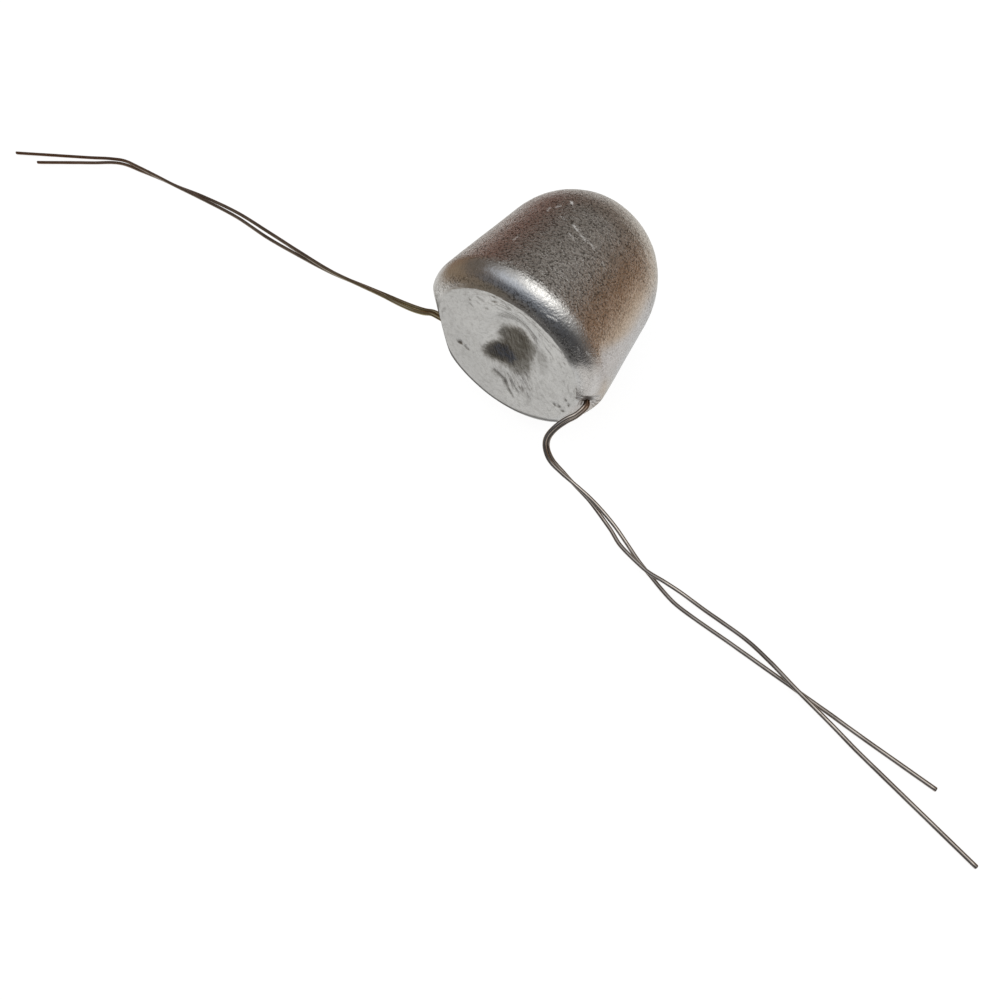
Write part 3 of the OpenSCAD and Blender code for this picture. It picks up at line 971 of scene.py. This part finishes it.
# ---------------------------------------------------------------- shader building
class Signal:
    """A shader output; arithmetic on it adds math nodes."""

    def __init__(self, graph, socket):
        self.graph, self.socket = graph, socket

    def __add__(self, other):
        return self.graph.math("ADD", self, other)

    def __sub__(self, other):
        return self.graph.math("SUBTRACT", self, other)

    def __rsub__(self, other):
        return self.graph.math("SUBTRACT", other, self)

    def __mul__(self, other):
        return self.graph.math("MULTIPLY", self, other)

    def __truediv__(self, other):
        return self.graph.math("DIVIDE", self, other)


class Graph:
    """Short hand for building node trees."""

    def __init__(self, tree):
        self.tree = tree

    def new(self, kind, **settings):
        node = self.tree.nodes.new(kind)
        for name, value in settings.items():
            setattr(node, name, value)
        return node

    def put(self, socket, value):
        if isinstance(value, Signal):
            self.tree.links.new(value.socket, socket)
        else:
            socket.default_value = value

    def out(self, node, output=0):
        return Signal(self, node.outputs[output])

    def math(self, operation, first, second=0.0, clamp=False):
        node = self.new("ShaderNodeMath", operation=operation, use_clamp=clamp)
        for socket, value in zip(node.inputs, (first, second, 0.0)):
            self.put(socket, value)
        return self.out(node)

    def fade(self, value, start, end, low=0.0, high=1.0):
        """Smooth step from low at start to high at end."""
        node = self.new("ShaderNodeMapRange", interpolation_type="SMOOTHSTEP")
        inputs = {"Value": value, "From Min": start, "From Max": end, "To Min": low,
                  "To Max": high}
        for name, setting in inputs.items():
            self.put(node.inputs[name], setting)
        return self.out(node, "Result")

    def mix(self, share, first, second, blend="MIX"):
        """Mixes two colours, each a signal or an (r, g, b) tuple."""
        node = self.new("ShaderNodeMix", data_type="RGBA", blend_type=blend)
        self.put(node.inputs[0], share)
        for index, colour in ((6, first), (7, second)):
            self.put(node.inputs[index], (*colour, 1) if isinstance(colour, tuple) else colour)
        return self.out(node, 2)

    def noise(self, vector, scale, detail=3, rough=0.6, distort=0.0):
        node = self.new("ShaderNodeTexNoise")
        inputs = {"Vector": vector, "Scale": scale, "Detail": detail, "Roughness": rough,
                  "Distortion": distort}
        for name, setting in inputs.items():
            self.put(node.inputs[name], setting)
        return self.out(node)

    def attr(self, name):
        return self.out(self.new("ShaderNodeAttribute", attribute_name=name), "Fac")

    def attrs(self, *names):
        return [self.attr(name) for name in names]

    def vector_math(self, operation, first, second, output):
        node = self.new("ShaderNodeVectorMath", operation=operation)
        self.put(node.inputs[0], first)
        self.put(node.inputs[1], second)
        return self.out(node, output)

    def combine(self, x, y):
        node = self.new("ShaderNodeCombineXYZ")
        self.put(node.inputs[0], x)
        self.put(node.inputs[1], y)
        return self.out(node)

    def bump(self, height):
        """Normal from a height in millimetres."""
        node = self.new("ShaderNodeBump")
        node.inputs["Strength"].default_value = 1.0
        node.inputs["Distance"].default_value = MM
        self.put(node.inputs["Height"], height)
        return self.out(node)

    def mix_shader(self, share, first, second):
        node = self.new("ShaderNodeMixShader")
        for socket, value in zip(node.inputs, (share, first, second)):
            self.put(socket, value)
        return self.out(node)


def new_material(name):
    """Returns the material, its graph, its surface shader and the object coordinates."""
    material = bpy.data.materials.new(name)
    material.use_nodes = True
    graph = Graph(material.node_tree)
    surface = material.node_tree.nodes["Principled BSDF"]
    place = graph.out(graph.new("ShaderNodeTexCoord"), "Object")
    return material, graph, surface, place


# ---------------------------------------------------------------- materials
FOLD_PITCH = 0.46 * MM  # wavy folds right of the wires
FOLD_SWAY = 1.8 * MM  # length of their sideways waves


def zinc_material():
    material, g, surface, place = new_material("cast_zinc_skin")
    face, rim, wall, soot, warm = g.attrs("face", "rim", "wall", "soot", "warm")
    tarnish, blue, arcs, streaky = g.attrs("tarnish", "tarnish_blue", "arcs", "streaky")
    nick, pale = g.attrs("nick", "pale")

    # Noises from coarse to fine.
    broad = g.noise(place, scale=90, rough=0.55)
    grain_area = g.noise(place, scale=130)
    mid = g.noise(place, scale=520)
    soft = g.noise(place, scale=850)
    fine = g.noise(place, scale=2000, rough=0.7)
    grit = g.noise(place, scale=2500, rough=0.7)

    def towards(direction):
        return g.vector_math("DOT_PRODUCT", place, direction, "Value")

    # Streaks that run down the poured face, drawn out along it.
    across = towards((0.98, 0.21 * SIN_DRAFT, 0.21 * COS_DRAFT))
    along = towards((-0.21, 0.98 * SIN_DRAFT, 0.98 * COS_DRAFT))
    streak = g.noise(g.combine(across * 1.0, along * 0.22), scale=1150, distort=0.4)
    # Wrinkles that follow its rim: radius in mm against angle.
    face_x, face_z = towards((1.0, 0.0, 0.0)), towards((0.0, SIN_DRAFT, COS_DRAFT))
    radius = g.math("SQRT", face_x * face_x + face_z * face_z)
    angle = g.math("ARCTAN2", face_z, face_x)
    wrinkle = g.noise(g.combine(radius * 1000.0, angle * 4.5), scale=1.15, distort=0.6)
    # Wavy folds in the cut metal right of the wires.
    sway = g.math("SINE", towards(tuple(CAM_RIGHT)) * (2 * math.pi / FOLD_SWAY))
    phase = towards(tuple(CAM_DOWN)) * (2 * math.pi / FOLD_PITCH) + (sway * 1.5 + soft * 5.0)
    wave = g.math("SINE", phase) * g.attr("folds")

    # Sand-like grain, with painted light and shade: dark specks of painted shade in its hollows
    # and light specks of painted glint on its tips, weaker on the rim.
    rim_sand = rim * (g.attr("rim_face_side") * 0.70 + 0.22)
    sandy = g.math("MAXIMUM", wall, rim_sand * g.fade(grain_area, 0.40, 0.58, 0.6, 1.0))
    dark_specks = sandy * (0.94 - g.attr("calm") * 0.68)
    light_specks = g.math("MAXIMUM", wall * (0.95 - g.attr("calm") * 0.45), rim_sand * 0.5)
    # The painted dark reflection in the hollow is weaker along the streaks and ragged at its
    # edges.
    ragged = (streak - 0.5) * 0.9 + (soft - 0.5) * 0.9
    halfway = tarnish * (1.15 - tarnish) * 2.4
    film = tarnish * g.fade(streak, 0.42, 0.66, 1.06, 0.88)
    film = g.math("ADD", film, halfway * ragged, clamp=True)

    wall_colour = g.mix(g.fade(mid, 0.3, 0.7), (0.88, 0.865, 0.835), (0.98, 0.965, 0.94))
    # Bare grey zinc, and the layers laid over it in turn: where, colour, kind of mix.
    colour = g.mix(g.fade(broad, 0.35, 0.65), (0.87, 0.86, 0.84), (0.80, 0.79, 0.772))
    layers = [
        # Painted shade on the left side of the poured face, and its soft and fine mottle.
        (g.attr("dull"), (0, 0, 0), "MIX"),
        (face * g.fade(soft, 0.48, 0.64) * 0.22, (0.30, 0.28, 0.26), "MIX"),
        (face * g.fade(fine, 0.50, 0.62) * 0.20, (0.30, 0.285, 0.27), "MIX"),
        # Wrinkles and streaks, darkened as painted dark reflections in their slopes.
        (arcs * (g.fade(wrinkle, 0.53, 0.66) * 0.50), (0.20, 0.185, 0.17), "MIX"),
        (streaky * (g.fade(streak, 0.52, 0.63) * 0.66), (0.15, 0.13, 0.12), "MIX"),
        # The wall, and its grain as painted shade and painted glints.
        (wall * 0.90, wall_colour, "MIX"),
        (g.fade(fine, 0.485, 0.585) * dark_specks, (0.15, 0.135, 0.12), "MIX"),
        (g.fade(grit, 0.53, 0.62) * light_specks, (1.0, 0.99, 0.97), "MIX"),
        # Painted dark reflections in the hollow: brown, then bluish.
        (film, (0.165, 0.150, 0.125), "MIX"),
        (blue * g.fade(soft, 0.40, 0.62, 1.0, 0.55), (0.100, 0.110, 0.142), "MIX"),
        # Burnt brown round the exits, painted shade in grooves, pits, the hole and along the rim's
        # edges, and painted shade in the troughs of the folds.
        (warm * 0.6, (0.16, 0.075, 0.03), "MIX"),
        (soot * 0.95, (0.045, 0.037, 0.031), "MIX"),
        (g.fade(wave, 0.0, 0.9, 0.0, 0.62), (0.16, 0.15, 0.14), "MIX"),
        # Painted warm and dark reflections on the right, a painted bluish sheen, and the bright
        # nicks.
        (g.attr("tan_band"), (0.89, 0.78, 0.66), "MULTIPLY"),
        (g.attr("dim") * 0.40, (0.02, 0.02, 0.022), "MIX"),
        (pale, (0.82, 0.86, 0.93), "MULTIPLY"),
        (nick, (0.85, 0.84, 0.82), "MIX"),
    ]
    for where, tint, blend in layers:
        colour = g.mix(where, colour, tint, blend)

    # Painted shade, fresh scratches and the painted sheen scatter light instead of mirroring it.
    dusty = g.math("MAXIMUM", g.fade(soot, 0.55, 1.0, 0.0, 0.75), nick)
    dusty = g.math("MAXIMUM", dusty, pale * 0.25)
    rough = wall * 0.04 + 0.20 + g.fade(mid, 0.3, 0.7, -0.03, 0.05) - rim * 0.03
    # Relief too fine for the mesh: the grain of the wall, weaker on the rim and the poured face.
    amount = wall * (1.15 - g.attr("calm") * 0.5) + (g.attr("grainy") * 0.62 + 0.18)
    grain = fine * 0.100 + mid * 0.060
    ridges = arcs * wrinkle * 0.13 + wave * 0.02
    ridges = ridges + g.math("MAXIMUM", streaky, tarnish) * streak * 0.16

    g.put(surface.inputs["Base Color"], colour)
    g.put(surface.inputs["Metallic"], 1.0 - dusty)
    g.put(surface.inputs["Specular IOR Level"], 0.5 - soot * 0.4)
    g.put(surface.inputs["Roughness"], g.math("ADD", rough, soot * 0.2, clamp=True))
    g.put(surface.inputs["Normal"], g.bump(grain * amount + ridges))
    return material


def wire_material(name, shift):
    """Drawn steel; shift moves the noise, so that the two wires differ."""
    material, g, surface, place = new_material(name)
    heat, oxide, burnt, olive = g.attrs("heat", "oxide", "burnt", "olive")
    shifted = g.vector_math("ADD", place, (shift, shift * 0.7, 0), 0)
    patch = g.noise(shifted, scale=160)
    speck = g.noise(shifted, scale=1500, detail=2)

    def patchy(light, dark, start=0.3, end=0.7):
        return g.mix(g.fade(patch, start, end), light, dark)

    colour = patchy((0.53, 0.48, 0.435), (0.38, 0.335, 0.30), 0.35, 0.65)  # bare steel
    for where, tint in (
        (heat * 0.95, patchy((0.72, 0.50, 0.26), (0.42, 0.26, 0.12))),
        (olive * 0.75, patchy((0.72, 0.64, 0.37), (0.47, 0.41, 0.22))),
        (oxide * 0.8, (0.30, 0.13, 0.045)),
        (burnt * 0.8, (0.20, 0.085, 0.025)),
        (g.fade(speck, 0.6, 0.75) * 0.4, (0.08, 0.06, 0.05)),
    ):
        colour = g.mix(where, colour, tint)
    g.put(surface.inputs["Base Color"], colour)
    g.put(surface.inputs["Metallic"], 1.0)
    g.put(surface.inputs["Roughness"], g.fade(speck, 0.3, 0.7, 0.13, 0.24) + oxide * 0.1)
    g.put(surface.inputs["Normal"], g.bump(speck * 0.006))
    return material


def hand_over(obj, material, node):
    obj.data.materials.append(material)
    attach(obj, "root")
    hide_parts(node)


# One material all over, also on the walls of the channels.
casting.data.materials.clear()
casting.data.polygons.foreach_set("material_index", np.zeros(len(casting.data.polygons), np.int32))
hand_over(casting, zinc_material(), "zinc_casting")
for k, (obj, row) in enumerate(zip(wires, WIRES)):
    steel = wire_material("drawn_steel_" + "ab"[k], 0.31 * (k + 1))
    hand_over(obj, steel, row[1])

# ---------------------------------------------------------------- what the metal reflects
# Stops round the room: azimuth in degrees (0 towards +Y, 90 towards +X), colour.
NEAR_HORIZON = [
    (-180, (0.100, 0.100, 0.105)), (-150, (0.125, 0.105, 0.080)), (-120, (0.200, 0.150, 0.105)),
    (-90, (0.230, 0.170, 0.115)), (-62, (0.190, 0.120, 0.082)), (-45, (0.145, 0.054, 0.037)),
    (-28, (0.120, 0.075, 0.054)), (0, (0.140, 0.112, 0.092)), (22, (0.150, 0.108, 0.080)),
    (40, (0.165, 0.078, 0.028)), (68, (0.160, 0.080, 0.034)), (98, (0.105, 0.090, 0.080)),
    (135, (0.070, 0.068, 0.070)), (180, (0.100, 0.100, 0.105)),
]
HIGHER = [
    (-180, (0.150, 0.165, 0.190)), (-150, (0.110, 0.115, 0.130)), (-110, (0.130, 0.105, 0.085)),
    (-60, (0.125, 0.110, 0.098)), (-20, (0.130, 0.119, 0.107)), (20, (0.155, 0.140, 0.127)),
    (50, (0.170, 0.148, 0.130)), (90, (0.200, 0.195, 0.190)), (140, (0.110, 0.115, 0.125)),
    (180, (0.150, 0.165, 0.190)),
]
TABLE_TINT = [
    (-180, (1.0, 1.0, 1.0)), (-100, (1.0, 1.0, 1.0)), (-60, (0.93, 0.91, 0.90)),
    (0, (1.0, 0.98, 0.95)), (30, (0.86, 0.75, 0.65)), (72, (0.83, 0.72, 0.625)),
    (92, (0.95, 0.90, 0.87)), (112, (1.08, 1.05, 1.04)), (150, (1.04, 1.01, 1.0)),
    (180, (1.0, 1.0, 1.0)),
]
# Level of the table's edge by azimuth: 1 is the horizon, 0 is EDGE_SPAN degrees below it.
TABLE_EDGE = [
    (-180, 0.50), (-150, 0.44), (-118, 0.62), (-60, 0.64), (0, 0.72), (30, 0.60), (60, 0.53),
    (105, 0.62), (140, 0.66), (180, 0.50),
]
EDGE_SPAN = 54.0
KEY_ELEVATION, KEY_AZIMUTH = math.radians(72), math.radians(78)  # the soft white light
DEGREES = 180 / math.pi


def azimuth_ramp(graph, turn, stops):
    """Colour by azimuth; turn is 0 at -180 degrees and 1 at 180."""
    node = graph.new("ShaderNodeValToRGB")
    node.color_ramp.interpolation = "LINEAR"
    elements = node.color_ramp.elements
    while len(elements) > 1:
        elements.remove(elements[-1])
    for i, (azimuth, colour) in enumerate(stops):
        position = (azimuth + 180) / 360
        element = elements.new(position) if i else elements[0]
        element.position = position
        element.color = (*colour, 1)
    graph.put(node.inputs[0], turn)
    return graph.out(node)


def studio_group():
    """The room as the metal sees it, by direction: a pale table below, a dim brown room round the
    horizon, a soft white light overhead towards +X."""
    tree = bpy.data.node_groups.new("studio", "ShaderNodeTree")
    tree.interface.new_socket("Direction", in_out="INPUT", socket_type="NodeSocketVector")
    tree.interface.new_socket("Color", in_out="OUTPUT", socket_type="NodeSocketColor")
    g = Graph(tree)
    normalize = g.new("ShaderNodeVectorMath", operation="NORMALIZE")
    g.put(normalize.inputs[0], g.out(g.new("NodeGroupInput")))
    direction = g.out(normalize)
    parts = g.new("ShaderNodeSeparateXYZ")
    g.put(parts.inputs[0], direction)
    x, y, z = (g.out(parts, i) for i in range(3))
    height = g.math("MINIMUM", g.math("MAXIMUM", z, -1.0), 1.0)
    wobble = (g.noise(direction, scale=3.0) - 0.5) * 14.0
    elevation = g.math("ARCSINE", height) * DEGREES + wobble
    turn = g.math("ARCTAN2", x, y) * DEGREES / 360.0 + 0.5

    near_horizon = azimuth_ramp(g, turn, NEAR_HORIZON)
    room = g.mix(g.fade(elevation, 6.0, 22.0), near_horizon, azimuth_ramp(g, turn, HIGHER))
    # Towards the ceiling the room gets lighter, bluish on the side of the poured face.
    ceiling = g.mix(g.fade(y, -0.3, 0.3), (0.50, 0.53, 0.585), (0.32, 0.31, 0.30))
    room = g.mix(g.fade(elevation, 36.0, 62.0), room, ceiling)
    # The soft white light: a wide glow and a brighter middle.
    key = (math.cos(KEY_ELEVATION) * math.sin(KEY_AZIMUTH),
           math.cos(KEY_ELEVATION) * math.cos(KEY_AZIMUTH), math.sin(KEY_ELEVATION))
    towards_key = g.vector_math("DOT_PRODUCT", direction, key, "Value")
    away = g.math("ARCCOSINE", g.math("MINIMUM", towards_key, 0.99999)) * DEGREES
    room = g.mix(g.fade(away, 43.0, 16.0), room, (0.88, 0.875, 0.865))
    room = g.mix(g.fade(away, 20.0, 9.0), room, (1.85, 1.84, 1.79))
    # The table: its edge is nearer in front of the poured face.
    edge = g.new("ShaderNodeSeparateColor")
    g.put(edge.inputs[0], azimuth_ramp(g, turn, [(a, (level,) * 3) for a, level in TABLE_EDGE]))
    above_edge = elevation - (g.out(edge) - 1.0) * EDGE_SPAN
    table = g.mix(g.fade(z, -0.9, -0.3), (0.60, 0.60, 0.59), (0.66, 0.655, 0.64))
    table = g.mix(1.0, table, azimuth_ramp(g, turn, TABLE_TINT), "MULTIPLY")
    seen = g.mix(g.fade(above_edge, -7.0, 8.0), table, room)
    g.put(g.new("NodeGroupOutput").inputs[0], seen)
    return tree


def glossy_ray(graph):
    return graph.out(graph.new("ShaderNodeLightPath"), "Is Glossy Ray")


def shader(graph, kind, colour):
    node = graph.new(kind)
    graph.put(node.inputs[0], colour)
    return graph.out(node)


def studio_colour(graph, studio, direction):
    node = graph.new("ShaderNodeGroup", node_tree=studio)
    graph.put(node.inputs[0], direction)
    return graph.out(node)


def build_world(studio):
    """Even white light, but the metal mirrors the studio."""
    world = bpy.data.worlds.new("soft_white_studio")
    bpy.context.scene.world = world
    world.use_nodes = True
    world.node_tree.nodes.clear()
    g = Graph(world.node_tree)
    direction = g.out(g.new("ShaderNodeTexCoord"), "Generated")
    room = shader(g, "ShaderNodeBackground", studio_colour(g, studio, direction))
    white = shader(g, "ShaderNodeBackground", (1.0, 1.0, 1.0, 1))
    output = g.new("ShaderNodeOutputWorld")
    g.put(output.inputs[0], g.mix_shader(glossy_ray(g), white, room))
    world.cycles.sampling_method = "NONE"


def paper_material(studio):
    """Nearly white to the camera, with a soft contact shadow. The metal sees it as the studio's
    pale table."""
    material = bpy.data.materials.new("pale_paper")
    material.use_nodes = True
    material.node_tree.nodes.clear()
    g = Graph(material.node_tree)
    lit = shader(g, "ShaderNodeBsdfDiffuse", (0.97, 0.965, 0.96, 1))
    glow = shader(g, "ShaderNodeEmission", (1.06, 1.06, 1.06, 1))
    paper = g.mix_shader(0.84, lit, glow)
    flip = g.new("ShaderNodeVectorMath", operation="SCALE")
    g.put(flip.inputs[0], g.out(g.new("ShaderNodeNewGeometry"), "Incoming"))
    flip.inputs["Scale"].default_value = -1.0
    table = studio_colour(g, studio, g.out(flip))
    table_lit = shader(g, "ShaderNodeBsdfDiffuse", table)
    table_glow = shader(g, "ShaderNodeEmission", table)
    mirrored = g.mix_shader(0.65, table_lit, table_glow)
    output = g.new("ShaderNodeOutputMaterial")
    g.put(output.inputs[0], g.mix_shader(glossy_ray(g), paper, mirrored))
    return material


def build_floor(studio):
    bpy.ops.mesh.primitive_plane_add(size=8, location=(0, 0, (TABLE_Z - 0.03) * MM))
    floor = bpy.context.object
    floor.name = "studio_floor"
    floor.data.materials.append(paper_material(studio))


def build_camera():
    data = bpy.data.cameras.new("camera")
    data.sensor_width = 36.0
    data.lens = 32.4
    data.clip_start = 0.005
    data.clip_end = 20
    camera = bpy.data.objects.new("camera", data)
    bpy.context.scene.collection.objects.link(camera)
    columns = zip(CAM_RIGHT, -CAM_DOWN, -CAM_FORWARD, CAM_PLACE * MM)
    camera.matrix_world = Matrix([*(list(row) for row in columns), [0, 0, 0, 1]])
    bpy.context.scene.camera = camera


studio = studio_group()
build_world(studio)
build_floor(studio)
build_camera()
view = bpy.context.scene.view_settings
view.view_transform = "Standard"
view.look = "None"
view.exposure = 0.0
view.gamma = 1.0
